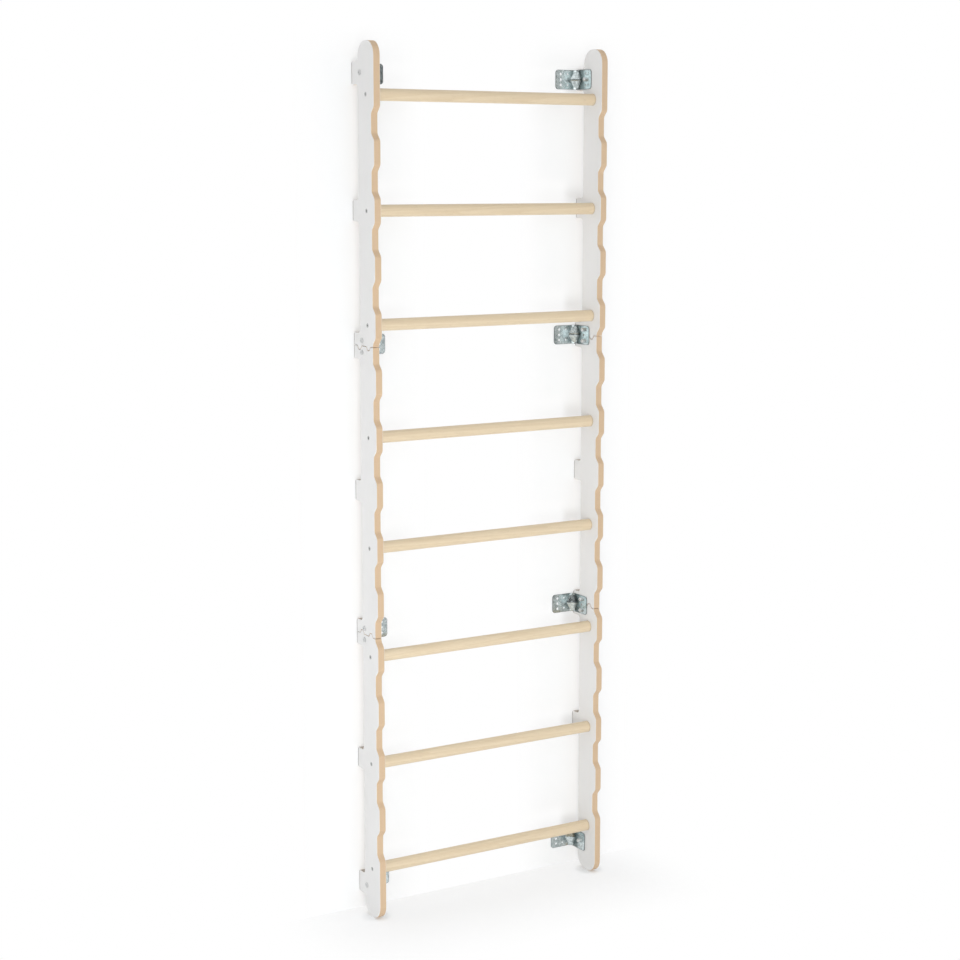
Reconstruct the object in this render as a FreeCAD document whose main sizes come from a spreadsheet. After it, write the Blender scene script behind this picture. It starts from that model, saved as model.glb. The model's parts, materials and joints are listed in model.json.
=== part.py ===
import FreeCAD, Part
import math
import os
import Sketcher

# Wall bars: eight round rungs between two wavy-edged laminated plywood rails, fixed to the wall by eight
# pressed steel angle brackets. Millimetres, +X to the right, +Y into the wall, +Z up.
# The origin lies on the wall, midway between the rails and midway up.

driving_sizes = {
    # whole ladder
    "rung_pitch": 280,
    "rung_diameter": 30,
    "clear_width": 644,
    # rail panel
    "core_thickness": 17,
    "laminate_thickness": 0.8,
    "rail_depth": 83,
    "wall_standoff": 32,
    "end_flat": 9,
    "end_straight": 1,
    "edge_ease": 0.5,
    # wavy front edge
    "notch_depth": 14.5,
    "notch_flat": 49,
    "notch_run": 16,
    "notch_radius": 12,
    # tabs that reach the wall
    "rung_tab_length": 53,
    "end_tab_margin": 3,
    "joint_tab_margin": 8,
    "tab_corner_radius": 5,
    "tab_root_radius": 9,
    # toothed joint between the rail's lengths
    "joint_rise": 18,
    "joint_gap": 1.4,
    "tooth_depth": 9.5,
    "tooth_base_width": 22,
    "tooth_tip_width": 7,
    "tooth_tip_radius": 2,
    "near_tooth_setback": 3,
    "far_tooth_inset": 23.5,
    # rung seats, screws and inserts
    "socket_depth": 8,
    "rung_clearance": 0.2,
    "rung_end_chamfer": 1,
    "screw_diameter": 6,
    "screw_head_diameter": 11,
    "screw_length": 34,
    "screw_socket_width": 4,
    "screw_socket_depth": 2.2,
    "hole_clearance": 0.3,
    "thread_clearance": 0.05,
    "insert_diameter": 10,
    "insert_length": 20,
    # angle brackets
    "wall_leg": 68,
    "rail_leg": 68,
    "bracket_width": 50,
    "sheet_thickness": 2,
    "bend_radius": 13,
    "leg_corner_radius": 8,
    "gusset_reach": 25,
    "gusset_edge_margin": 0.5,
    "gusset_ridge_radius": 8,
    "end_bracket_gap": 13,
    "joint_bracket_drop": 2,
    # bracket holes, measured from the bend
    "wall_hole_diameter": 6.6,
    "wall_hole_offset": 52,
    "wall_hole_spread": 14,
    "inner_hole_offset": 31,
    "small_hole_diameter": 5,
    "tip_hole_offset": 55,
    "tip_hole_spread": 14,
    # bracket bolts and cap nuts
    "bolt_diameter": 6,
    "bolt_offset": 43.5,
    "bolt_spread": 15,
    "bolt_head_diameter": 13,
    "bolt_head_height": 2.8,
    "bolt_head_ease": 1.2,
    "bolt_socket_width": 4,
    "bolt_socket_depth": 1.8,
    "bolt_thread_in_nut": 5,
    "nut_across_flats": 10,
    "nut_height": 5,
    "nut_dome_radius": 4.6,
    "nut_dome_height": 3.6,
    "nut_bore_spare": 1,
}

rung_count = 8
section_rungs_top = 3
section_rungs_middle = 2
notches_on_top_section = 5
notches_on_middle_section = 6
cut_margin = 20  # how far a cutting shape runs past what it cuts
same_point = 1e-6
same_edge = 0.01
parallel = 0.999
least_cut = 1e-3

doc = FreeCAD.newDocument("wall_bars")
sheet = doc.addObject("Spreadsheet::Sheet", "Sizes")


class Size:
    # A length that keeps its spreadsheet expression beside its value.
    def __init__(self, text, value):
        self.text = text
        self.value = value

    def __add__(self, other):
        other = as_size(other)
        return Size(f"({self.text} + {other.text})", self.value + other.value)

    def __radd__(self, other):
        return as_size(other) + self

    def __sub__(self, other):
        other = as_size(other)
        return Size(f"({self.text} - {other.text})", self.value - other.value)

    def __rsub__(self, other):
        return as_size(other) - self

    def __mul__(self, other):
        other = as_size(other)
        return Size(f"({self.text} * {other.text})", self.value * other.value)

    def __rmul__(self, other):
        return as_size(other) * self

    def __truediv__(self, other):
        other = as_size(other)
        return Size(f"({self.text} / {other.text})", self.value / other.value)

    def __neg__(self):
        return Size(f"(0 - {self.text})", -self.value)

    def root(self):
        return Size(f"sqrt({self.text})", math.sqrt(self.value))


def as_size(item):
    return item if isinstance(item, Size) else Size(f"{float(item):.9f}", float(item))


def fill_sheet():
    named = {}
    for row, (name, value) in enumerate(driving_sizes.items(), start=1):
        sheet.set(f"A{row}", name)
        sheet.set(f"B{row}", str(value))
        sheet.setAlias(f"B{row}", name)
        named[name] = Size(f"Sizes.{name}", float(value))
    doc.recompute()
    return named


size = fill_sheet()

# Places worked out from the driving sizes
panel_thickness = size["core_thickness"] + 2 * size["laminate_thickness"]
inner_face = size["clear_width"] / 2
outer_face = inner_face + panel_thickness
rail_back = -size["wall_standoff"]
rail_front = rail_back - size["rail_depth"]
rail_axis = rail_back - size["rail_depth"] / 2
notch_floor = rail_front + size["notch_depth"]
rung_radius = size["rung_diameter"] / 2
rung_half_length = inner_face + size["socket_depth"]
seat_depth = panel_thickness - size["socket_depth"]
screw_hole_radius = size["screw_diameter"] / 2 + size["hole_clearance"]
half_bracket = size["bracket_width"] / 2
half_rung_tab = size["rung_tab_length"] / 2
half_end_tab = half_bracket + size["end_tab_margin"]
half_joint_tab = half_bracket + size["joint_tab_margin"]

# Heights above the middle of the ladder
top_rung = size["rung_pitch"] * ((rung_count - 1) / 2)
rung_tab = top_rung - size["rung_pitch"]
end_bracket = top_rung + rung_radius + size["end_bracket_gap"] + half_bracket
end_radius = (size["rail_depth"] - size["end_flat"]) / 2
rail_shoulder = end_bracket + half_end_tab + size["tab_root_radius"] + size["end_straight"]
rail_end = rail_shoulder + end_radius
wave_pitch = size["rung_pitch"] / 2
top_notch = top_rung - wave_pitch / 2
joint_notch = top_notch - (notches_on_top_section - 1) * wave_pitch
joint_line = joint_notch + size["joint_rise"]
joint_bracket = joint_line - size["joint_bracket_drop"]

# Depths of the two teeth in each joint, one by the rail's back edge and one by its front
tooth_depths = [rail_back + size["near_tooth_setback"], notch_floor + size["far_tooth_inset"]]


def bind(item, path, length):
    item.setExpression(path, as_size(length).text)


def place(item, x=0, y=0, z=0):
    start = [as_size(value) for value in (x, y, z)]
    spot = FreeCAD.Vector(*[value.value for value in start])
    item.Placement = FreeCAD.Placement(spot, item.Placement.Rotation)
    for axis, value in zip("xyz", start):
        bind(item, f"Placement.Base.{axis}", value)


def origin_feature(body, role):
    return next(item for item in body.Origin.OriginFeatures if item.Role == role)


def new_body(name):
    return doc.addObject("PartDesign::Body", name)


def new_sketch(body, name, plane, offset=None, turn=None):
    sketch = body.newObject("Sketcher::SketchObject", name)
    sketch.AttachmentSupport = (origin_feature(body, plane), [""])
    sketch.MapMode = "FlatFace"
    if turn:
        axis, angle = turn
        sketch.AttachmentOffset = FreeCAD.Placement(FreeCAD.Vector(), FreeCAD.Rotation(axis, angle))
    if offset:
        for axis, value in zip("xyz", offset):
            bind(sketch, f"AttachmentOffset.Base.{axis}", value)
    return sketch


def fix_coordinate(sketch, kind, geometry, point, length):
    length = as_size(length)
    index = sketch.addConstraint(Sketcher.Constraint(kind, -1, 1, geometry, point, length.value))
    bind(sketch, f"Constraints[{index}]", length)


def fix_point(sketch, geometry, point, place_2d):
    fix_coordinate(sketch, "DistanceX", geometry, point, place_2d[0])
    fix_coordinate(sketch, "DistanceY", geometry, point, place_2d[1])


def flat(place_2d):
    return FreeCAD.Vector(as_size(place_2d[0]).value, as_size(place_2d[1]).value, 0)


def arc_between(start, end, centre):
    # the arc from start to end by the shorter way round
    middle = (start + end) / 2 - centre
    radius = (start - centre).Length
    return Part.Arc(start, centre + middle.normalize() * radius, end)


def draw_outline(sketch, points, centres=None):
    # A closed outline through points. centres maps a side's number to the centre of the arc that replaces it.
    centres = centres or {}
    corners = [flat(point) for point in points]
    count = len(corners)
    first = sketch.GeometryCount
    starts = []
    ends = []
    for side in range(count):
        start = corners[side]
        end = corners[(side + 1) % count]
        if side in centres:
            arc = arc_between(start, end, flat(centres[side]))
            sketch.addGeometry(arc, False)
            forward = sketch.getPoint(first + side, 1).distanceToPoint(start) < same_point
            starts.append(1 if forward else 2)
            ends.append(2 if forward else 1)
        else:
            sketch.addGeometry(Part.LineSegment(start, end), False)
            starts.append(1)
            ends.append(2)
    for side in range(count):
        following = (side + 1) % count
        joined = (first + side, ends[side], first + following, starts[following])
        sketch.addConstraint(Sketcher.Constraint("Coincident", *joined))
    for side in range(count):
        fix_point(sketch, first + side, starts[side], points[side])
    for side, centre in centres.items():
        chord = corners[(side + 1) % count] - corners[side]
        upright = abs(chord.y) > abs(chord.x)
        kind = "DistanceX" if upright else "DistanceY"
        fix_coordinate(sketch, kind, first + side, 3, centre[0] if upright else centre[1])


def draw_circle(sketch, centre, diameter):
    diameter = as_size(diameter)
    circle = Part.Circle(flat(centre), FreeCAD.Vector(0, 0, 1), diameter.value / 2)
    number = sketch.addGeometry(circle, False)
    fix_point(sketch, number, 3, centre)
    index = sketch.addConstraint(Sketcher.Constraint("Diameter", number, diameter.value))
    bind(sketch, f"Constraints[{index}]", diameter)


def hexagon(across_flats):
    corner = across_flats / math.sqrt(3)
    turns = [math.radians(60 * step) for step in range(6)]
    return [(corner * math.cos(turn), corner * math.sin(turn)) for turn in turns]


def finish_feature(body, feature):
    doc.recompute()
    body.Tip = feature
    return feature


def pad(body, name, sketch, length, symmetric=False):
    feature = body.newObject("PartDesign::Pad", name)
    feature.Profile = sketch
    feature.SideType = "Symmetric" if symmetric else "One side"
    bind(feature, "Length", length)
    return finish_feature(body, feature)


def finish_cut(body, feature, volume_before):
    finish_feature(body, feature)
    if feature.Shape.Volume > volume_before - least_cut:
        raise RuntimeError(f"{body.Label}: {feature.Label} removes nothing")
    return feature


def pocket_through(body, name, sketch):
    volume = body.Tip.Shape.Volume
    feature = body.newObject("PartDesign::Pocket", name)
    feature.Profile = sketch
    feature.Type = "ThroughAll"
    feature.SideType = "Symmetric"
    return finish_cut(body, feature, volume)


def pocket_forward(body, name, sketch, depth):
    # cuts along the sketch's own normal
    volume = body.Tip.Shape.Volume
    feature = body.newObject("PartDesign::Pocket", name)
    feature.Profile = sketch
    feature.Reversed = True
    bind(feature, "Length", depth)
    return finish_cut(body, feature, volume)


def turned(body, kind, name, sketch):
    feature = body.newObject(f"PartDesign::{kind}", name)
    feature.Profile = sketch
    feature.ReferenceAxis = (sketch, ["H_Axis"])
    feature.Angle = 360
    return feature


def repeat_down(body, name, original, step, count):
    volume = body.Tip.Shape.Volume
    feature = body.newObject("PartDesign::LinearPattern", name)
    feature.Originals = [original]
    feature.Direction = (origin_feature(body, "Z_Axis"), [""])
    feature.Reversed = True
    feature.Occurrences = count
    bind(feature, "Length", step * (count - 1))
    return finish_cut(body, feature, volume)


def edges_along(shape, direction, spots):
    # names of the straight edges along direction (0, 1, 2 for X, Y, Z) that pass through one of the spots,
    # each given in the other two coordinates
    others = [axis for axis in range(3) if axis != direction]
    names = []
    for number, edge in enumerate(shape.Edges, start=1):
        if not isinstance(edge.Curve, Part.Line) or abs(edge.Curve.Direction[direction]) < parallel:
            continue
        middle = edge.CenterOfMass
        here = [middle[axis] for axis in others]
        if any(math.dist(here, flat(spot)[:2]) < same_edge for spot in spots):
            names.append(f"Edge{number}")
    return names


def fillet(body, name, edge_names, radius):
    base = body.Tip
    feature = body.newObject("PartDesign::Fillet", name)
    feature.Base = (base, edge_names)
    bind(feature, "Radius", radius)
    return finish_feature(body, feature)


def round_edges(body, name, direction, spots, radius):
    return fillet(body, name, edges_along(body.Tip.Shape, direction, spots), radius)


def ease_faces(body, name, ease):
    # a small chamfer round the outlines of the two faces that look along X
    base = body.Tip
    names = []
    for number, face in enumerate(base.Shape.Faces, start=1):
        if isinstance(face.Surface, Part.Plane) and abs(face.Surface.Axis.x) > parallel:
            names.append(f"Face{number}")
    feature = body.newObject("PartDesign::Chamfer", name)
    feature.Base = (base, names)
    bind(feature, "Size", ease)
    return finish_feature(body, feature)


# Rail panels. A panel body starts at the rail's outer face and is padded along +X.

def tab_outline(low, high):
    root = rail_back - size["tab_root_radius"]
    return [(root, low), (0, low), (0, high), (root, high)]


def tooth_outline(depth, base_line, grow):
    # a tooth that points down from base_line, grown all round by a gap
    half_base = size["tooth_base_width"] / 2 + grow
    half_tip = size["tooth_tip_width"] / 2 + grow
    tip = base_line - size["tooth_depth"]
    root = base_line + size["tooth_tip_radius"]
    spots = [(-half_base, root), (-half_base, base_line), (-half_tip, tip), (half_tip, tip)]
    spots += [(half_base, base_line), (half_base, root)]
    return [(depth + shift, level) for shift, level in spots]


def tooth_tips(depth, base_line, grow):
    half_tip = size["tooth_tip_width"] / 2 + grow
    tip = base_line - size["tooth_depth"]
    return [(depth + side * half_tip, tip) for side in (-1, 1)]


def flipped(spots):
    return [(depth, -level) for depth, level in spots]


def cut_notches(body, highest, count):
    half_flat = size["notch_flat"] / 2
    half_mouth = half_flat + size["notch_run"]
    outside = rail_front - size["notch_depth"]
    spread = half_mouth + size["notch_run"]
    sketch = new_sketch(body, "notch_outline", "YZ_Plane")
    draw_outline(sketch, [(outside, highest - spread), (notch_floor, highest - half_flat),
                          (notch_floor, highest + half_flat), (outside, highest + spread)])
    first = pocket_through(body, "notch", sketch)
    repeat_down(body, "notches", first, wave_pitch, count)
    spots = []
    for number in range(count):
        middle = highest - number * wave_pitch
        for side in (-1, 1):
            spots.append((rail_front, middle + side * half_mouth))
            spots.append((notch_floor, middle + side * half_flat))
    return spots


def seat_rungs(body, highest, count):
    # countersink, screw hole and rung socket, turned about the rung's axis and repeated down the rail
    head = size["screw_head_diameter"] / 2 + size["thread_clearance"]
    socket = rung_radius + size["rung_clearance"]
    sketch = new_sketch(body, "rung_seat_profile", "XY_Plane", offset=(0, rail_axis, highest))
    draw_outline(sketch, [(-cut_margin, 0), (-cut_margin, head + cut_margin),
                          (head - screw_hole_radius, screw_hole_radius), (seat_depth, screw_hole_radius),
                          (seat_depth, socket), (panel_thickness + cut_margin, socket),
                          (panel_thickness + cut_margin, 0)])
    volume = body.Tip.Shape.Volume
    first = finish_cut(body, turned(body, "Groove", "rung_seat", sketch), volume)
    repeat_down(body, "rung_seats", first, size["rung_pitch"], count)


def drill_bolt_holes(body, levels):
    sketch = new_sketch(body, "bolt_hole_circles", "YZ_Plane")
    for level in levels:
        draw_circle(sketch, (-size["bolt_offset"], level), size["bolt_diameter"] + 2 * size["hole_clearance"])
    pocket_through(body, "bolt_holes", sketch)


def build_top_panel():
    body = new_body("left_top_panel")
    blank = new_sketch(body, "blank_outline", "YZ_Plane")
    back_centre = rail_back - end_radius
    front_centre = rail_front + end_radius
    corners = [(rail_front, joint_line), (rail_back, joint_line), (rail_back, rail_shoulder),
               (back_centre, rail_end), (front_centre, rail_end), (rail_front, rail_shoulder)]
    draw_outline(blank, corners, {2: (back_centre, rail_shoulder), 4: (front_centre, rail_shoulder)})
    pad(body, "blank", blank, panel_thickness)

    joint_tab_top = joint_bracket + half_joint_tab
    tab_sketch = new_sketch(body, "tab_outlines", "YZ_Plane")
    draw_outline(tab_sketch, tab_outline(end_bracket - half_end_tab, end_bracket + half_end_tab))
    draw_outline(tab_sketch, tab_outline(rung_tab - half_rung_tab, rung_tab + half_rung_tab))
    draw_outline(tab_sketch, tab_outline(joint_line, joint_tab_top))
    pad(body, "tabs", tab_sketch, panel_thickness)
    tab_ends = [end_bracket - half_end_tab, end_bracket + half_end_tab]
    tab_ends += [rung_tab - half_rung_tab, rung_tab + half_rung_tab, joint_tab_top]

    notch_spots = cut_notches(body, top_notch, notches_on_top_section)
    tooth_sketch = new_sketch(body, "tooth_outlines", "YZ_Plane")
    for depth in tooth_depths:
        draw_outline(tooth_sketch, tooth_outline(depth, joint_line, 0))
    pad(body, "teeth", tooth_sketch, panel_thickness)

    round_edges(body, "tab_roots", 0, [(rail_back, end) for end in tab_ends], size["tab_root_radius"])
    round_edges(body, "tab_corners", 0, [(0, end) for end in tab_ends], size["tab_corner_radius"])
    round_edges(body, "notch_rounds", 0, notch_spots, size["notch_radius"])
    tips = [spot for depth in tooth_depths for spot in tooth_tips(depth, joint_line, 0)]
    round_edges(body, "tooth_rounds", 0, tips, size["tooth_tip_radius"])
    ease_faces(body, "eased_edges", size["edge_ease"])
    seat_rungs(body, top_rung, section_rungs_top)
    drill_bolt_holes(body, [end_bracket, joint_bracket + size["bolt_spread"]])
    place(body, x=-outer_face)
    return body


def build_middle_panel():
    body = new_body("left_middle_panel")
    top = joint_line - size["joint_gap"]
    blank = new_sketch(body, "blank_outline", "YZ_Plane")
    draw_outline(blank, [(rail_front, -top), (rail_back, -top), (rail_back, top), (rail_front, top)])
    pad(body, "blank", blank, panel_thickness)

    joint_tab_end = joint_bracket - half_joint_tab
    tab_sketch = new_sketch(body, "tab_outlines", "YZ_Plane")
    draw_outline(tab_sketch, tab_outline(joint_tab_end, top))
    draw_outline(tab_sketch, tab_outline(-half_rung_tab, half_rung_tab))
    draw_outline(tab_sketch, tab_outline(-top, -joint_tab_end))
    pad(body, "tabs", tab_sketch, panel_thickness)
    tab_ends = [joint_tab_end, half_rung_tab, -half_rung_tab, -joint_tab_end]

    notch_spots = cut_notches(body, joint_notch, notches_on_middle_section)
    slot_sketch = new_sketch(body, "slot_outlines", "YZ_Plane")
    for depth in tooth_depths:
        outline = tooth_outline(depth, top, size["joint_gap"])
        draw_outline(slot_sketch, outline)
        draw_outline(slot_sketch, flipped(outline))
    pocket_through(body, "slots", slot_sketch)

    round_edges(body, "tab_roots", 0, [(rail_back, end) for end in tab_ends], size["tab_root_radius"])
    round_edges(body, "tab_corners", 0, [(0, end) for end in tab_ends], size["tab_corner_radius"])
    round_edges(body, "notch_rounds", 0, notch_spots, size["notch_radius"])
    tips = [spot for depth in tooth_depths for spot in tooth_tips(depth, top, size["joint_gap"])]
    round_edges(body, "slot_rounds", 0, tips + flipped(tips), size["tooth_tip_radius"])
    ease_faces(body, "eased_edges", size["edge_ease"])
    seat_rungs(body, size["rung_pitch"] / 2, section_rungs_middle)
    level = joint_bracket - size["bolt_spread"]
    drill_bolt_holes(body, [level, -level])
    place(body, x=-outer_face)
    return body


def build_slab(name, start, thickness):
    # a slab across the whole left rail that splits a panel into its core and its two laminates
    slab = doc.addObject("Part::Box", name)
    bind(slab, "Length", thickness)
    bind(slab, "Width", cut_margin * 2 - rail_front)
    bind(slab, "Height", (rail_end + cut_margin) * 2)
    place(slab, x=start, y=rail_front - cut_margin, z=-rail_end - cut_margin)
    return slab


def common(label, base, tool):
    item = doc.addObject("Part::Common", label)
    item.Base = base
    item.Tool = tool
    return item


def mirrored(label, source, normal):
    item = doc.addObject("Part::Mirroring", label)
    item.Source = source
    item.Normal = FreeCAD.Vector(*normal)
    return item


across = (1, 0, 0)
upside_down = (0, 0, 1)


def build_rails():
    panels = {"top": build_top_panel(), "middle": build_middle_panel()}
    laminate = size["laminate_thickness"]
    slabs = {
        "outer_laminate": build_slab("outer_slab", -outer_face, laminate),
        "core": build_slab("core_slab", laminate - outer_face, size["core_thickness"]),
        "inner_laminate": build_slab("inner_slab", -inner_face - laminate, laminate),
    }
    nodes = []
    for layer, slab in slabs.items():
        left = {section: common(f"left_{section}_{layer}", panel, slab) for section, panel in panels.items()}
        left["bottom"] = mirrored(f"left_bottom_{layer}", left["top"], upside_down)
        right = [mirrored(f"right_{section}_{layer}", item, across) for section, item in left.items()]
        nodes += list(left.values()) + right
    return nodes


# Rungs, turned about their own axis, with a bore in each end for the insert and the screw's tip

def build_rung(number):
    body = new_body(f"rung_{number}")
    end = rung_half_length
    bore = size["insert_diameter"] / 2 + size["thread_clearance"]
    bore_end = end - size["insert_length"]
    tip_end = outer_face - size["screw_length"] - size["hole_clearance"]
    chamfer = size["rung_end_chamfer"]
    half = [(tip_end, 0), (tip_end, screw_hole_radius), (bore_end, screw_hole_radius), (bore_end, bore),
            (end, bore), (end, rung_radius - chamfer), (end - chamfer, rung_radius)]
    outline = half + [(-along, radius) for along, radius in reversed(half)]
    sketch = new_sketch(body, "profile", "XY_Plane")
    draw_outline(sketch, outline)
    finish_feature(body, turned(body, "Revolution", "turned_rung", sketch))
    place(body, y=rail_axis, z=rung_level(number))
    return body


def rung_level(number):
    # rungs are counted from the lowest
    return size["rung_pitch"] * (number - (rung_count + 1) / 2)


# Angle brackets. The bend's outer corner is at the body's origin, the wall leg runs along +X and the rail
# leg along -Y, so the body as drawn fits the left rail.

def build_bracket(name, level):
    body = new_body(name)
    thickness = size["sheet_thickness"]
    outer_bend = size["bend_radius"] + thickness
    ridge = size["gusset_reach"] / math.sqrt(2)
    diagonal = (FreeCAD.Vector(0, 1, 0), -45)

    # gusset: a ridge pressed across the bend, as a prism whose ridge joins the two legs at 45 degrees. Its
    # flanks run out inside the bend's sheet, close to the bracket's edges.
    buried = outer_bend * (math.sqrt(2) - 1) + thickness / 2
    buried_half = half_bracket - size["gusset_edge_margin"]
    half_width = buried_half * ridge / (ridge - buried)
    slope = (ridge * ridge + half_width * half_width).root()
    ridge_sketch = new_sketch(body, "gusset_outline", "XZ_Plane", turn=diagonal)
    draw_outline(ridge_sketch, [(buried, -buried_half), (ridge, 0), (buried, buried_half)])
    pad(body, "gusset", ridge_sketch, size["gusset_reach"] * 2, symmetric=True)
    apex = FreeCAD.Vector(1, -1, 0).normalize() * ridge.value
    ridge_edges = [f"Edge{number}" for number, edge in enumerate(body.Tip.Shape.Edges, start=1)
                   if edge.CenterOfMass.distanceToPoint(apex) < same_edge]
    fillet(body, "gusset_round", ridge_edges, size["gusset_ridge_radius"])

    profile = new_sketch(body, "leg_profile", "XY_Plane")
    wall_leg = size["wall_leg"]
    rail_leg = size["rail_leg"]
    bend = (outer_bend, -outer_bend)
    draw_outline(profile, [(wall_leg, 0), (outer_bend, 0), (0, -outer_bend), (0, -rail_leg),
                           (thickness, -rail_leg), (thickness, -outer_bend), (outer_bend, -thickness),
                           (wall_leg, -thickness)], centres={1: bend, 5: bend})
    pad(body, "legs", profile, size["bracket_width"], symmetric=True)

    # the hollow behind the gusset, one sheet thickness inside it
    hollow_ridge = ridge - thickness * slope / half_width
    hollow_half = half_width - thickness * slope / ridge
    hollow_start = -thickness
    hollow_start_half = hollow_half - hollow_start * hollow_half / hollow_ridge
    hollow_sketch = new_sketch(body, "hollow_outline", "XZ_Plane", turn=diagonal)
    draw_outline(hollow_sketch, [(hollow_start, -hollow_start_half), (hollow_ridge, 0),
                                 (hollow_start, hollow_start_half)])
    pocket_through(body, "hollow", hollow_sketch)

    # nothing stands behind the two legs
    beyond = size["gusset_reach"] * 2
    outside_sketch = new_sketch(body, "outside_outline", "XY_Plane")
    draw_outline(outside_sketch, [(0, 0), (beyond, 0), (beyond, beyond), (-beyond, beyond),
                                  (-beyond, -beyond), (0, -beyond)])
    pocket_through(body, "outside", outside_sketch)

    wall_corners = [(wall_leg, side * half_bracket) for side in (-1, 1)]
    rail_corners = [(-rail_leg, side * half_bracket) for side in (-1, 1)]
    round_edges(body, "wall_leg_corners", 1, wall_corners, size["leg_corner_radius"])
    round_edges(body, "rail_leg_corners", 0, rail_corners, size["leg_corner_radius"])

    wall_holes = new_sketch(body, "wall_hole_circles", "XZ_Plane")
    for side in (-1, 0, 1):
        spot = (size["wall_hole_offset"], side * size["wall_hole_spread"])
        draw_circle(wall_holes, spot, size["wall_hole_diameter"])
    for side in (-1, 1):
        spot = (size["inner_hole_offset"], side * size["wall_hole_spread"])
        draw_circle(wall_holes, spot, size["small_hole_diameter"])
    pocket_through(body, "wall_holes", wall_holes)

    rail_holes = new_sketch(body, "rail_hole_circles", "YZ_Plane")
    for side in (-1, 0, 1):
        spot = (-size["bolt_offset"], side * size["bolt_spread"])
        draw_circle(rail_holes, spot, size["bolt_diameter"] + 2 * size["hole_clearance"])
    for side in (-1, 1):
        spot = (-size["tip_hole_offset"], side * size["tip_hole_spread"])
        draw_circle(rail_holes, spot, size["small_hole_diameter"])
    pocket_through(body, "rail_holes", rail_holes)
    place(body, x=-inner_face, z=level)
    return body


def build_brackets():
    nodes = []
    for upper, lower, level in [("top_bracket", "bottom_bracket", end_bracket),
                                ("upper_joint_bracket", "lower_joint_bracket", joint_bracket)]:
        left_upper = build_bracket(f"left_{upper}", level)
        left_lower = mirrored(f"left_{lower}", left_upper, upside_down)
        right_upper = mirrored(f"right_{upper}", left_upper, across)
        right_lower = mirrored(f"right_{lower}", left_lower, across)
        nodes += [left_upper, left_lower, right_upper, right_lower]
    return nodes


# Fasteners. Each master lies along +X from its seat, and a group holds one copy at each place.

def turned_body(name, outline, centres=None):
    body = new_body(name)
    sketch = new_sketch(body, "profile", "XY_Plane")
    draw_outline(sketch, outline, centres)
    finish_feature(body, turned(body, "Revolution", "turned", sketch))
    return body


def press_hex_socket(body, start, width, depth):
    sketch = new_sketch(body, "socket_outline", "YZ_Plane", offset=(0, 0, start))
    draw_outline(sketch, hexagon(width))
    pocket_forward(body, "hex_socket", sketch, depth)


def build_rung_screw():
    head = size["screw_head_diameter"] / 2
    shank = size["screw_diameter"] / 2
    length = size["screw_length"]
    point = shank / 2
    body = turned_body("rung_screw", [(0, 0), (0, head), (head - shank, shank), (length - point, shank),
                                      (length, shank - point), (length, 0)])
    press_hex_socket(body, 0, size["screw_socket_width"], size["screw_socket_depth"])
    return body


def build_insert():
    bore = size["screw_diameter"] / 2 + size["thread_clearance"]
    outside = size["insert_diameter"] / 2
    length = size["insert_length"]
    return turned_body("rung_insert", [(0, bore), (0, outside), (length, outside), (length, bore)])


def build_bracket_bolt():
    head = size["bolt_head_diameter"] / 2
    top = -size["bolt_head_height"]
    ease = size["bolt_head_ease"]
    shank = size["bolt_diameter"] / 2
    length = panel_thickness + size["sheet_thickness"] + size["bolt_thread_in_nut"]
    outline = [(top, 0), (top, head - ease), (top + ease, head), (0, head), (0, shank), (length, shank),
               (length, 0)]
    body = turned_body("bracket_bolt", outline, {1: (top + ease, head - ease)})
    press_hex_socket(body, top, size["bolt_socket_width"], size["bolt_socket_depth"])
    return body


def build_cap_nut():
    body = new_body("cap_nut")
    height = size["nut_height"]
    dome = size["nut_dome_radius"]
    crown = size["nut_dome_height"]
    hex_sketch = new_sketch(body, "hex_outline", "YZ_Plane")
    draw_outline(hex_sketch, hexagon(size["nut_across_flats"]))
    pad(body, "hexagon", hex_sketch, height)
    dome_sketch = new_sketch(body, "dome_profile", "XY_Plane")
    sphere_centre = height + (crown * crown - dome * dome) / (crown * 2)
    draw_outline(dome_sketch, [(height - crown / 2, 0), (height - crown / 2, dome), (height, dome),
                               (height + crown, 0)], centres={2: (sphere_centre, 0)})
    finish_feature(body, turned(body, "Revolution", "dome", dome_sketch))
    bore_sketch = new_sketch(body, "bore_circle", "YZ_Plane")
    draw_circle(bore_sketch, (0, 0), size["bolt_diameter"] + 2 * size["thread_clearance"])
    pocket_forward(body, "bore", bore_sketch, size["bolt_thread_in_nut"] + size["nut_bore_spare"])
    return body


def group(label, master, seat, depth, levels):
    # one copy of the master at each level up the left rail
    copies = []
    for number, level in enumerate(levels, start=1):
        copy = doc.addObject("App::Link", f"{label}_{number}")
        copy.LinkedObject = master
        place(copy, x=seat, y=depth, z=level)
        copies.append(copy)
    together = doc.addObject("Part::Compound", label)
    together.Links = copies
    return together


def build_fasteners():
    rung_levels = [rung_level(number) for number in range(1, rung_count + 1)]
    upper_bolts = [joint_bracket - size["bolt_spread"], joint_bracket + size["bolt_spread"], end_bracket]
    bolt_levels = upper_bolts + [-level for level in upper_bolts]
    bolt_depth = -size["bolt_offset"]
    groups = [
        ("rung_screws", build_rung_screw(), -outer_face, rail_axis, rung_levels),
        ("rung_inserts", build_insert(), -rung_half_length, rail_axis, rung_levels),
        ("bracket_bolts", build_bracket_bolt(), -outer_face, bolt_depth, bolt_levels),
        ("bracket_nuts", build_cap_nut(), size["sheet_thickness"] - inner_face, bolt_depth, bolt_levels),
    ]
    nodes = []
    for kind, master, seat, depth, levels in groups:
        left = group(f"left_{kind}", master, seat, depth, levels)
        nodes += [left, mirrored(f"right_{kind}", left, across)]
    return nodes


def check_document():
    for item in doc.Objects:
        if "Invalid" in item.State or "Error" in item.State:
            raise RuntimeError(f"{item.Label} failed: {item.State}")


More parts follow.
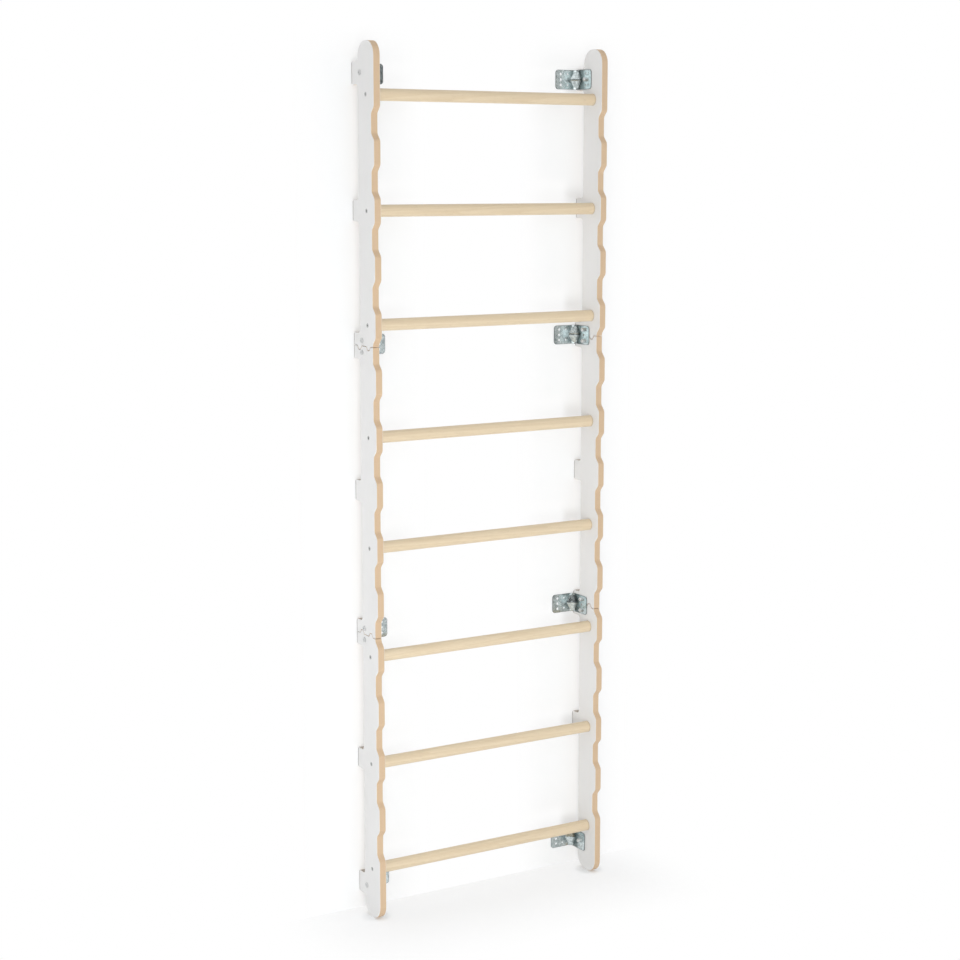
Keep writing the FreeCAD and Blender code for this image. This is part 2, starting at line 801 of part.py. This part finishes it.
def write_parts(nodes):
    for node in nodes:
        if node.Shape.isNull() or not node.Shape.isValid():
            raise RuntimeError(f"{node.Label} has no valid shape")
    os.makedirs("parts", exist_ok=True)
    for node in nodes:
        node.Shape.exportStep(f"parts/{node.Label}.step")
        print(f"{node.Label}: {len(node.Shape.Solids)} solid(s), {node.Shape.Volume / 1000:.2f} cm3")


sub_parts = build_rails()
sub_parts += [build_rung(number) for number in range(1, rung_count + 1)]
sub_parts += build_brackets()
sub_parts += build_fasteners()
doc.recompute()
check_document()
write_parts(sub_parts)
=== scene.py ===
import json
import math

import bpy
import numpy as np
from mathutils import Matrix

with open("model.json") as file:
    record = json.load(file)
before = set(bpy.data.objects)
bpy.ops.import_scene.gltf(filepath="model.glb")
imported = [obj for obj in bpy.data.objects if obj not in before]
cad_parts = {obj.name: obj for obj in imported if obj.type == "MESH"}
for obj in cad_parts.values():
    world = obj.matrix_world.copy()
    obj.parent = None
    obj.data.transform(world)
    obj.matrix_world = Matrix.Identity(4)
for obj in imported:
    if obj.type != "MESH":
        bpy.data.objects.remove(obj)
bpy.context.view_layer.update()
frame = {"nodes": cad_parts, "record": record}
scene = bpy.context.scene
print("frame:", len(frame["nodes"]), "pieces of the ladder")


class Wire:  # a node's output that does sums: each operator adds a Math node
    def __init__(self, finish, socket):
        self.finish = finish
        self.socket = socket

    def __add__(self, other):
        return self.finish.maths("ADD", self, other)

    def __sub__(self, other):
        return self.finish.maths("SUBTRACT", self, other)

    def __rsub__(self, other):
        return self.finish.maths("SUBTRACT", other, self)

    def __mul__(self, other):
        return self.finish.maths("MULTIPLY", self, other)

    def __truediv__(self, other):
        return self.finish.maths("DIVIDE", self, other)

    def __rtruediv__(self, other):
        return self.finish.maths("DIVIDE", other, self)

    def __abs__(self):
        return self.finish.maths("ABSOLUTE", self)

    __radd__ = __add__
    __rmul__ = __mul__


class Finish:  # the node tree of a material or of the studio, with the few mixes used here
    def __init__(self, owner):
        owner.use_nodes = True
        self.owner = owner
        self.tree = owner.node_tree

    def feed(self, socket, value):
        if isinstance(value, Wire):
            self.tree.links.new(value.socket, socket)
        else:
            socket.default_value = value

    def node(self, kind, settings=None, sockets=None, output=0):
        made = self.tree.nodes.new("ShaderNode" + kind)
        for name, value in (settings or {}).items():
            setattr(made, name, value)
        for name, value in (sockets or {}).items():
            self.feed(made.inputs[name], value)
        return Wire(self, made.outputs[output])

    def maths(self, operation, *terms):
        return self.node("Math", {"operation": operation}, dict(enumerate(terms)))

    def place(self, scale=(1, 1, 1)):  # object coordinates in metres, stretched along each axis
        spot = self.node("TexCoord", output="Object")
        return self.node("VectorMath", {"operation": "MULTIPLY"}, {0: spot, 1: scale})

    def several(self, kind, names, sockets=None):  # some outputs of one node
        made = self.node(kind, None, sockets).socket.node
        return [Wire(self, made.outputs[name]) for name in names]

    def axes(self, vector):
        return self.several("SeparateXYZ", "XYZ", {0: vector})

    def noise(self, scale, detail, rough, output=0):
        return self.node("TexNoise", None, {"Vector": self.place(scale), "Scale": 1.0,
                                            "Detail": detail, "Roughness": rough}, output)

    def ease(self, value, low, high, start=0.0, end=1.0):  # smooth step from start to end
        return self.node("MapRange", {"interpolation_type": "SMOOTHSTEP"},
                         {"Value": value, "From Min": low, "From Max": high, "To Min": start, "To Max": end})

    def length(self, across, along):  # of a step in a plane
        return self.maths("SQRT", across * across + along * along)

    def blend(self, share, first, second):  # of two colours
        return self.node("Mix", {"data_type": "RGBA"}, {0: share, 6: first, 7: second}, output=2)

    def seen(self):  # 1 for what the camera sees, itself or in metal and glass
        camera, glossy, through = self.several(
            "LightPath", ("Is Camera Ray", "Is Glossy Ray", "Is Transmission Ray"))
        return self.maths("MAXIMUM", camera, self.maths("MAXIMUM", glossy, through))

    def show(self, shader):  # as the material's surface
        self.feed(self.tree.nodes["Material Output"].inputs["Surface"], shader)

    def coat(self, look, colour, rough, height):  # fills the material's own shader
        shader = self.tree.nodes["Principled BSDF"]
        strength, distance = look["bump"]
        relief = self.node("Bump", None, {"Height": height, "Strength": strength, "Distance": distance})
        for name, value in {"Base Color": colour, "Roughness": rough, "Normal": relief}.items():
            self.feed(shader.inputs[name], value)
        for name, value in look["shader"].items():
            shader.inputs[name].default_value = value
        print("finish:", self.owner.name)
        return self.owner


def newFinish(name):
    return Finish(bpy.data.materials.new(name))


# In the looks below a noise has its features per metre along x, y and z, its detail and its roughness.
# A name that ends in Cut gives the values between which a pattern goes from nothing to all,
# and one that ends in Share says how much of the colour it takes.

# Turned rungs: pale wood with growth rings cut lengthwise, fine fibres and short flecks,
# each rung from its own board
rungLook = {
    "pitch": 0.280,
    "axis": -0.0735,             # the rungs' middle line, in front of the wall
    "pale": (0.828, 0.696, 0.500, 1),
    "late": (0.684, 0.539, 0.353, 1),
    "fleck": (0.520, 0.385, 0.235, 1),
    "boardAway": (0.05, 0.012),  # how far behind a rung the tree's middle lies: spread and least
    "boardShift": 0.06,          # and how far above or below it, from one rung to another
    "boardLean": 0.05,
    "ringWidth": 0.0042,
    "ringWaver": 1.6,
    "ringCut": (0.15, 1.0),
    "fibre": ((9, 620, 620), 3.0, 0.6),
    "band": ((1.6, 70, 70), 2.0, 0.5),
    "flecks": ((75, 1150, 1150), 1.0, 0.5),
    "fleckCut": (0.64, 0.76),
    "fleckShare": 0.35,
    "lateShare": (0.30, 0.50, 0.25, 0.10),  # of rings, fibres, bands and the board
    "lateLess": 0.27,
    "socketShadeCut": (0.3190, 0.3212),  # painted shade: a darker ring where a rung goes into its rail, for the shadow in its socket's gap
    "socketShadeShare": 0.7,
    "fibreCut": (0.25, 0.75),
    "rough": (0.44, 0.60),
    "relief": (0.7, 0.3, 0.5),   # of fibres, rings and flecks
    "bump": (0.12, 0.0004),
    "shader": {"Coat Weight": 0.12, "Coat Roughness": 0.35},
}


def rungWood(look):
    wood = newFinish("rungWood")
    x, y, z = wood.axes(wood.place())
    step = z / look["pitch"]
    number = wood.maths("FLOOR", step)
    chance = wood.node("TexWhiteNoise", {"noise_dimensions": "1D"}, {"W": number}, output="Color")
    side, reach, lean = wood.axes(chance)
    fibre = wood.noise(*look["fibre"])
    band = wood.noise(*look["band"])
    spread, least = look["boardAway"]
    back = y - look["axis"] - (reach * spread + least) - x * (lean - 0.5) * look["boardLean"]
    up = (step - number - 0.5) * look["pitch"] - (side - 0.5) * look["boardShift"]
    age = wood.length(back, up) / look["ringWidth"] + band * look["ringWaver"]  # rings from the tree's middle
    ring = wood.ease(wood.maths("FRACT", age), *look["ringCut"])
    fleck = wood.ease(wood.noise(*look["flecks"]), *look["fleckCut"])
    ofRing, ofFibre, ofBand, ofBoard = look["lateShare"]
    late = ring * ofRing + fibre * ofFibre + band * ofBand + (side + lean) * ofBoard - look["lateLess"]
    colour = wood.blend(late, look["pale"], look["late"])
    # painted shade: the rung's ends take the fleck colour where they go into the rails, for the socket's
    # shadow
    socketShade = wood.ease(abs(x), *look["socketShadeCut"])
    dark = wood.maths("MAXIMUM", fleck * look["fleckShare"], socketShade * look["socketShadeShare"])
    colour = wood.blend(dark, colour, look["fleck"])
    rough = wood.ease(fibre, *look["fibreCut"], *look["rough"])
    fibreHeight, ringHeight, fleckDepth = look["relief"]
    return wood.coat(look, colour, rough, fibre * fibreHeight + ring * ringHeight - fleck * fleckDepth)


# Bare panel edges: thin plies across the rail's thickness, every other one cut across its grain
plyLook = {
    "inner": 0.3228,             # the core's inner side, from the ladder's middle
    "thickness": 0.017,
    "plies": 11,
    "long": (0.740, 0.560, 0.378, 1),
    "cut": (0.640, 0.462, 0.297, 1),
    "cutShare": 0.8,
    "glue": (0.470, 0.300, 0.165, 1),
    "glueCut": (0.42, 0.5),
    "glueShare": 0.5,
    "pore": (0.400, 0.255, 0.140, 1),
    "pores": ((1500, 60, 1500), 1.0, 0.5),
    "poreCut": (0.58, 0.72),
    "poreShare": 0.4,
    "streak": ((900, 240, 11), 3.0, 0.6),
    "streakCut": (0.3, 0.75),
    "streakShare": 0.34,
    "cloud": ((7, 7, 3), 2.0, 0.5),
    "cloudCut": (0.3, 0.7),
    "cloudShare": 0.16,
    "ledgeShade": (0.380, 0.355, 0.325, 1),  # painted shade on the tabs' upper sides, in the recess between rail and wall
    "ledgeShadeShare": (0.75, 0.3),    # everywhere there, and with the clouds
    "recessCut": (-0.034, -0.031),
    "upwardCut": (0.5, 0.9),
    "roughCut": (0.2, 0.8),
    "rough": (0.48, 0.66),
    "relief": (0.6, 0.5, 0.5),   # of streaks, glue and pores
    "bump": (0.15, 0.0004),
    "shader": {"Coat Weight": 0.08, "Coat Roughness": 0.4},
}


def plyEdge(look):
    ply = newFinish("plyEdge")
    x, y, _ = ply.axes(ply.place())
    layer = (abs(x) - look["inner"]) * (look["plies"] / look["thickness"])
    across = ply.maths("MODULO", ply.maths("FLOOR", layer), 2.0)  # 1 in the plies cut across the grain
    glue = ply.ease(abs(ply.maths("FRACT", layer) - 0.5), *look["glueCut"])
    streak = ply.noise(*look["streak"])
    pore = ply.ease(ply.noise(*look["pores"]), *look["poreCut"]) * across
    cloud = ply.noise(*look["cloud"])
    colour = ply.blend(across * look["cutShare"], look["long"], look["cut"])
    darker = (ply.ease(streak, *look["streakCut"]) * look["streakShare"]
              + ply.ease(cloud, *look["cloudCut"]) * look["cloudShare"])
    colour = ply.blend(darker, colour, look["cut"])
    colour = ply.blend(pore * look["poreShare"], colour, look["pore"])
    colour = ply.blend(glue * look["glueShare"], colour, look["glue"])
    # painted shade: faces that look up in the recess behind the rail turn grey-brown, for the shadow there
    upward = ply.axes(ply.node("NewGeometry", output="Normal"))[2]
    ledgeShade = ply.ease(y, *look["recessCut"]) * ply.ease(upward, *look["upwardCut"])
    even, clouded = look["ledgeShadeShare"]
    colour = ply.blend(ledgeShade * (even + cloud * clouded), colour, look["ledgeShade"])
    rough = ply.ease(streak, *look["roughCut"], *look["rough"])
    streakHeight, glueDepth, poreDepth = look["relief"]
    return ply.coat(look, colour, rough, streak * streakHeight - glue * glueDepth - pore * poreDepth)


# White panel faces: a satin sheet with a faint orange peel and a little haze from hands
laminateLook = {
    "clean": (0.815, 0.815, 0.812, 1),
    "hazy": (0.775, 0.775, 0.768, 1),
    "haze": ((5, 5, 2.2), 4.0, 0.6),
    "hazeCut": (0.35, 0.75),
    "hazeShare": 0.7,
    "rubbed": ((60, 60, 14), 3.0, 0.65),
    "rubbedCut": (0.55, 0.8),
    "rubbedShare": 0.3,
    "contactShade": (0.240, 0.240, 0.236, 1),   # painted shadow: a dark line where the tabs meet the wall, for the contact shadow there
    "contactShadeCut": (-0.0036, -0.0016),
    "contactShadeShare": (0.6, 0.6),      # everywhere there, and where it is rubbed
    "peel": ((520, 520, 520), 1.0, 0.5),
    "roughShare": (0.5, 0.5),    # of haze and rubbing
    "roughCut": (0.3, 0.7),
    "rough": (0.36, 0.50),
    "bump": (0.05, 0.0003),
    "shader": {},
}


def whiteLaminate(look):
    white = newFinish("whiteLaminate")
    haze = white.noise(*look["haze"])
    rubbed = white.noise(*look["rubbed"])
    worn = (white.ease(haze, *look["hazeCut"]) * look["hazeShare"]
            + white.ease(rubbed, *look["rubbedCut"]) * look["rubbedShare"])
    colour = white.blend(worn, look["clean"], look["hazy"])
    # painted shadow: the faces darken within a few millimetres of the wall
    contactShade = white.ease(white.axes(white.place())[1], *look["contactShadeCut"])
    even, uneven = look["contactShadeShare"]
    colour = white.blend(contactShade * (even + rubbed * uneven), colour, look["contactShade"])
    ofHaze, ofRubbing = look["roughShare"]
    rough = white.ease(haze * ofHaze + rubbed * ofRubbing, *look["roughCut"], *look["rough"])
    return white.coat(look, colour, rough, white.noise(*look["peel"]))


# Zinc-plated brackets: crystals a few millimetres wide that take the light differently,
# stains and fine rubbing
zincLook = {
    "dull": (0.378, 0.434, 0.440, 1),
    "bright": (0.760, 0.835, 0.842, 1),
    "crystal": 190.0,            # crystals per metre, large and small
    "grit": 520.0,
    "wobble": ((240, 240, 240), 2.0, 0.5),
    "wander": (0.004, 0.004, 0.004),
    "rub": ((900, 900, 120), 3.0, 0.65),
    "brightShare": (0.62, 0.30, 0.16),  # of large crystals, small ones and rubbing
    "brightLess": 0.04,
    "stain": (0.280, 0.325, 0.330, 1),
    "stains": ((60, 60, 60), 3.0, 0.5),
    "stainCut": (0.60, 0.80),
    "stainShare": 0.5,
    "railFace": 0.322,
    "bendShade": (0.085, 0.110, 0.110, 1),  # painted shade: a dark band on the rail leg next to the bend, where the two legs face each other
    "bandStart": (0.009, 0.015),  # from the wall
    "bandEnd": (0.028, 0.045),
    "bandDepth": (0.003, 0.008),  # from the rail
    "bandShare": (0.55, 0.5),    # everywhere there, and with the rubbing
    "outlineShade": (0.130, 0.150, 0.152, 1),  # painted shade: a dark line along the sheet's outline
    "levels": (1.033, 0.366),    # the brackets' heights, above and below the middle
    "straight": (0.060, 0.017),  # a leg's length and half width without its rounded corners
    "cornerCut": (0.0064, 0.0078),
    "outlineShadeShare": 0.75,
    "roughShare": (0.6, 0.4),    # of crystals and rubbing
    "roughCut": (0.15, 0.8),
    "rough": (0.14, 0.26),
    "relief": (0.5, 0.2, 0.2),   # of large crystals, small ones and rubbing
    "bump": (0.20, 0.0004),
    "shader": {"Metallic": 1.0},
}


def zincSteel(look):
    metal = newFinish("zincSteel")
    wobble = metal.noise(*look["wobble"], output="Color")
    spot = metal.node("VectorMath", {"operation": "MULTIPLY_ADD"},
                      {0: wobble, 1: look["wander"], 2: metal.place()})
    large = metal.node("TexVoronoi", None, {"Vector": spot, "Scale": look["crystal"]}, output="Color")
    small = metal.node("TexVoronoi", None, {"Vector": spot, "Scale": look["grit"]}, output="Color")
    shade, turn, _ = metal.axes(large)
    grit, _, _ = metal.axes(small)
    rub = metal.noise(*look["rub"])
    stain = metal.ease(metal.noise(*look["stains"]), *look["stainCut"])
    ofLarge, ofSmall, ofRub = look["brightShare"]
    bright = shade * ofLarge + grit * ofSmall + rub * ofRub - look["brightLess"]
    colour = metal.blend(bright, look["dull"], look["bright"])
    colour = metal.blend(stain * look["stainShare"], colour, look["stain"])
    x, y, z = metal.axes(metal.place())
    out, deep = look["railFace"] - abs(x), -1 * y  # from the rail and from the wall
    # painted shade on the rail leg beside the bend, uneven with the rubbing
    band = (metal.ease(deep, *look["bandStart"]) * metal.ease(deep, *look["bandEnd"], 1.0, 0.0)
            * metal.ease(out, *look["bandDepth"], 1.0, 0.0))
    even, rubbed = look["bandShare"]
    colour = metal.blend(band * (even + rub * rubbed), colour, look["bendShade"])
    # painted shade: a dark line along the brackets' outlines, from their legs' lengths, widths and rounded
    # corners
    up = metal.maths("MINIMUM", *(abs(abs(z) - level) for level in look["levels"]))
    long, wide = (metal.maths("MAXIMUM", reach - most, 0.0)
                  for reach, most in zip((metal.maths("MAXIMUM", out, deep), up), look["straight"]))
    outlineShade = metal.ease(metal.length(long, wide), *look["cornerCut"])
    colour = metal.blend(outlineShade * look["outlineShadeShare"], colour, look["outlineShade"])
    ofTurn, ofWear = look["roughShare"]
    rough = metal.ease(turn * ofTurn + rub * ofWear, *look["roughCut"], *look["rough"])
    largeHeight, smallHeight, rubHeight = look["relief"]
    return metal.coat(look, colour, rough, turn * largeHeight + grit * smallHeight + rub * rubHeight)


# Bolts, cap nuts, rung screws and inserts: turned metal with faint tool lines and dull patches
turnedLook = {
    "slots": {                   # each metal's dull colour, bright colour and roughness
        "bolt_steel": ((0.540, 0.546, 0.546, 1), (0.780, 0.786, 0.784, 1), (0.36, 0.50)),
        "screw_steel": ((0.390, 0.392, 0.390, 1), (0.590, 0.591, 0.586, 1), (0.30, 0.46)),
        "insert_metal": ((0.520, 0.410, 0.210, 1), (0.700, 0.580, 0.330, 1), (0.28, 0.44)),
    },
    "lines": ((2600, 500, 500), 2.0, 0.5),
    "patch": ((170, 170, 170), 3.0, 0.6),
    "patchCut": (0.3, 0.7),
    "brightShare": (0.5, 0.5),   # of lines and patches
    "roughShare": (0.6, 0.4),    # of patches and lines
    "roughCut": (0.25, 0.75),
    "bump": (0.06, 0.0002),
    "shader": {"Metallic": 1.0},
}


def turnedMetal(look, slot):
    metal = newFinish(slot)
    dullColour, brightColour, roughness = look["slots"][slot]
    lines = metal.noise(*look["lines"])
    patch = metal.noise(*look["patch"])
    ofLines, ofPatch = look["brightShare"]
    bright = lines * ofLines + metal.ease(patch, *look["patchCut"]) * ofPatch
    colour = metal.blend(bright, dullColour, brightColour)
    patchWear, lineWear = look["roughShare"]
    rough = metal.ease(patch * patchWear + lines * lineWear, *look["roughCut"], *roughness)
    return metal.coat(look, colour, rough, lines)


finishes = {"rung_wood": rungWood(rungLook), "plywood": plyEdge(plyLook),
            "white_laminate": whiteLaminate(laminateLook), "zinc_steel": zincSteel(zincLook)}
finishes.update({slot: turnedMetal(turnedLook, slot) for slot in turnedLook["slots"]})
for part in frame["record"]["subparts"]:
    materials = frame["nodes"][part["node"]].data.materials
    materials.clear()
    materials.append(finishes[part["material_slot"]])


# Wall and floor: plain matt white to the ladder, and to the camera and metal white with a share
# of the soft shadow
stageLook = {
    "wall": 0.0010,              # just behind the tabs and brackets
    "floor": -1.1085,            # just under the rails' ends
    "half": 7.0,
    "white": (0.94, 0.94, 0.94, 1),
    "shade": (0.970, 0.988, 1.0, 1),   # takes the wood's warmth out of the shadow
    "wallMatt": 0.60,            # the shadow's share on the wall close to the rails
    "wallTop": (1.02, 1.16),     # it runs out above the rails
    "wallRise": (0.14, 0.25),    # where it starts and where it is full, from the middle
    "wallFade": (0.355, 0.50),   # where it starts to run out and where it ends
    "rungShadow": (0.0182, 1.0243),  # the rungs' shadows lie this much higher and wider apart than the rungs
    "rungShare": 0.30,           # what is left of the shadow's share there
    "rungFade": (0.022, 0.060),
    "rungEnds": (0.265, 0.305),  # the rails' own shadows beside the rungs stay whole
    "floorMatt": 0.30,           # the shadow's share on the floor
    "floorFade": (0.34, 0.60),   # where it runs out to the sides
    "floorReach": (0.12, 0.45),  # and in front of the wall
    "foot": (0.3313, -0.0735),   # where the rails' ends stand
    "footMatt": 0.85,            # the shadow's share close to them
    "footFade": (0.015, 0.060),
    "touch": 0.003,              # light passes the wall where a piece lies on it, so the backs aren't black
}


def stageFinish(name, near):
    paint = newFinish(name)
    camera, length = paint.several("LightPath", ("Is Camera Ray", "Ray Length"))
    light = paint.node("Emission", None, {"Color": (1, 1, 1, 1), "Strength": 1.0})
    matt = paint.node("BsdfDiffuse", None, {"Color": stageLook["shade"]})
    plain = paint.node("BsdfDiffuse", None, {"Color": stageLook["white"]})
    shown = paint.node("MixShader", None, {0: near(paint, stageLook), 1: light, 2: matt})
    front = paint.node("MixShader", None, {0: paint.seen(), 1: plain, 2: shown})
    touching = paint.maths("LESS_THAN", length, stageLook["touch"]) * (1 - camera)
    behind = paint.node("NewGeometry", output="Backfacing")
    gone = paint.maths("MAXIMUM", behind, touching)
    paint.show(paint.node("MixShader", None, {0: gone, 1: front, 2: paint.node("BsdfTransparent")}))
    paint.owner.cycles.emission_sampling = "NONE"
    return paint.owner


def nearWall(paint, look):
    x, _, z = paint.axes(paint.place())
    higher, wider = look["rungShadow"]
    step = paint.maths("FRACT", (z - higher) / (wider * rungLook["pitch"]))
    gap = abs(step - 0.5) * rungLook["pitch"]  # from the middle of a rung's shadow
    rungs = paint.ease(gap, *look["rungFade"], look["rungShare"], 1.0)
    rungs = paint.maths("MAXIMUM", rungs, paint.ease(abs(x), *look["rungEnds"]))
    return (paint.ease(abs(x), *look["wallFade"], look["wallMatt"], 0.0) * rungs
            * paint.ease(abs(x), *look["wallRise"]) * paint.ease(z, *look["wallTop"], 1.0, 0.0))


def nearFloor(paint, look):
    x, y, _ = paint.axes(paint.place())
    footX, footY = look["foot"]
    gap = paint.length(abs(x) - footX, y - footY)
    foot = paint.ease(gap, *look["footFade"], look["footMatt"], 0.0)
    wide = (paint.ease(abs(x), *look["floorFade"], look["floorMatt"], 0.0)
            * paint.ease(abs(y), *look["floorReach"], 1.0, 0.0))
    return paint.maths("MAXIMUM", foot, wide)


def stagePlane(name, corners, finish):
    mesh = bpy.data.meshes.new(name)
    mesh.from_pydata(np.array(corners, float).tolist(), [], [(0, 1, 2, 3)])
    mesh.materials.append(finish)
    plane = bpy.data.objects.new(name, mesh)
    scene.collection.objects.link(plane)
    return plane


def setStage(look):
    half, low, back = look["half"], look["floor"], look["wall"]
    wall = [(-half, back, low), (half, back, low), (half, back, half), (-half, back, half)]
    floor = [(-half, -half, low), (half, -half, low), (half, half, low), (-half, half, low)]
    stagePlane("wall", wall, stageFinish("wallPaint", nearWall))
    stagePlane("floor", floor, stageFinish("floorPaint", nearFloor))
    print("stage: wall and floor")


setStage(stageLook)

# Studio: white all round, one large soft lamp low at the front left, and cards that only the metal shows
studioLook = {
    "around": 0.86,              # the even light's level on the ladder; the camera and metal see plain white
    "overhead": 0.60,            # its share left straight above and below
    "overheadCut": (0.05, 1.0),
    "lamp": (-1.4, -3.1, -0.75),
    "aim": (0.0, -0.06, -0.65),
    "size": 1.6,
    "power": 48.0,
    "cards": {                   # degrees left of the front, from and to; heights; distance; level
        "sideCard": (49, 124, -1.1, 2.8, 3.0, 0.05),
        "highCard": (-70, -18.4, 0.7, 3.0, 4.1, 0.10),
        "lowCard": (-66, -21, -1.1, 0.9, 1.6, 0.26),
        "frontCard": (-16, 45, -1.1, 2.8, 3.0, 1.7),
    },
}


def lightAround(look):
    scene.world = bpy.data.worlds.new("studio")
    air = Finish(scene.world)
    seen = air.seen()
    sky = air.tree.nodes["Background"]
    sky.inputs["Color"].default_value = (1, 1, 1, 1)
    rise = abs(air.axes(air.place())[2])
    level = air.ease(rise, *look["overheadCut"], look["around"], look["around"] * look["overhead"])
    air.feed(sky.inputs["Strength"], seen + (1 - seen) * level)
    print("studio: even light", look["around"])


def hangLamp(look):
    lamp = bpy.data.lights.new("softLamp", "AREA")
    lamp.shape = "DISK"
    lamp.size = look["size"]
    lamp.energy = look["power"]
    softLamp = bpy.data.objects.new("softLamp", lamp)
    way = np.array(look["aim"]) - np.array(look["lamp"])
    softLamp.location = look["lamp"]
    softLamp.rotation_euler = (math.acos(-way[2] / np.linalg.norm(way)), 0, math.atan2(-way[0], way[1]))
    softLamp.visible_glossy = False
    scene.collection.objects.link(softLamp)
    print("studio: a soft lamp of", look["power"], "W")


def standCard(name, start, end, low, high, reach, level):
    card = newFinish(name)
    card.show(card.node("Emission", None, {"Color": (1, 1, 1, 1), "Strength": level}))
    card.owner.cycles.emission_sampling = "NONE"
    turns = [math.radians(turn) for turn in (start, end)]
    first, last = [(-reach * math.sin(turn), -reach * math.cos(turn)) for turn in turns]
    plane = stagePlane(name, [(*first, low), (*last, low), (*last, high), (*first, high)], card.owner)
    plane.visible_camera = plane.visible_diffuse = False
    plane.visible_transmission = plane.visible_shadow = False
    print("studio:", name)


lightAround(studioLook)
hangLamp(studioLook)
for name, settings in studioLook["cards"].items():
    standCard(name, *settings)

# Camera: where the photograph was taken from, fitted to the rungs, rails, screws and brackets
cameraLook = {
    "place": (-2.49855, -4.25048, 0.78472),
    "yaw": 30.705,               # degrees to the right of straight ahead
    "down": 8.6623,
    "lens": 71.4328,
    "sensor": 36.0,
    "shift": (0.0, -0.01458),
    "far": 100.0,
}


def setCamera(look):
    lens = bpy.data.cameras.new("camera")
    lens.lens = look["lens"]
    lens.sensor_width = look["sensor"]
    lens.shift_x, lens.shift_y = look["shift"]
    lens.clip_end = look["far"]
    camera = bpy.data.objects.new("camera", lens)
    camera.location = look["place"]
    camera.rotation_euler = (math.radians(90 - look["down"]), 0, math.radians(-look["yaw"]))
    scene.collection.objects.link(camera)
    scene.camera = camera
    print("camera: lens", look["lens"])


setCamera(cameraLook)
scene.view_settings.view_transform = "Standard"
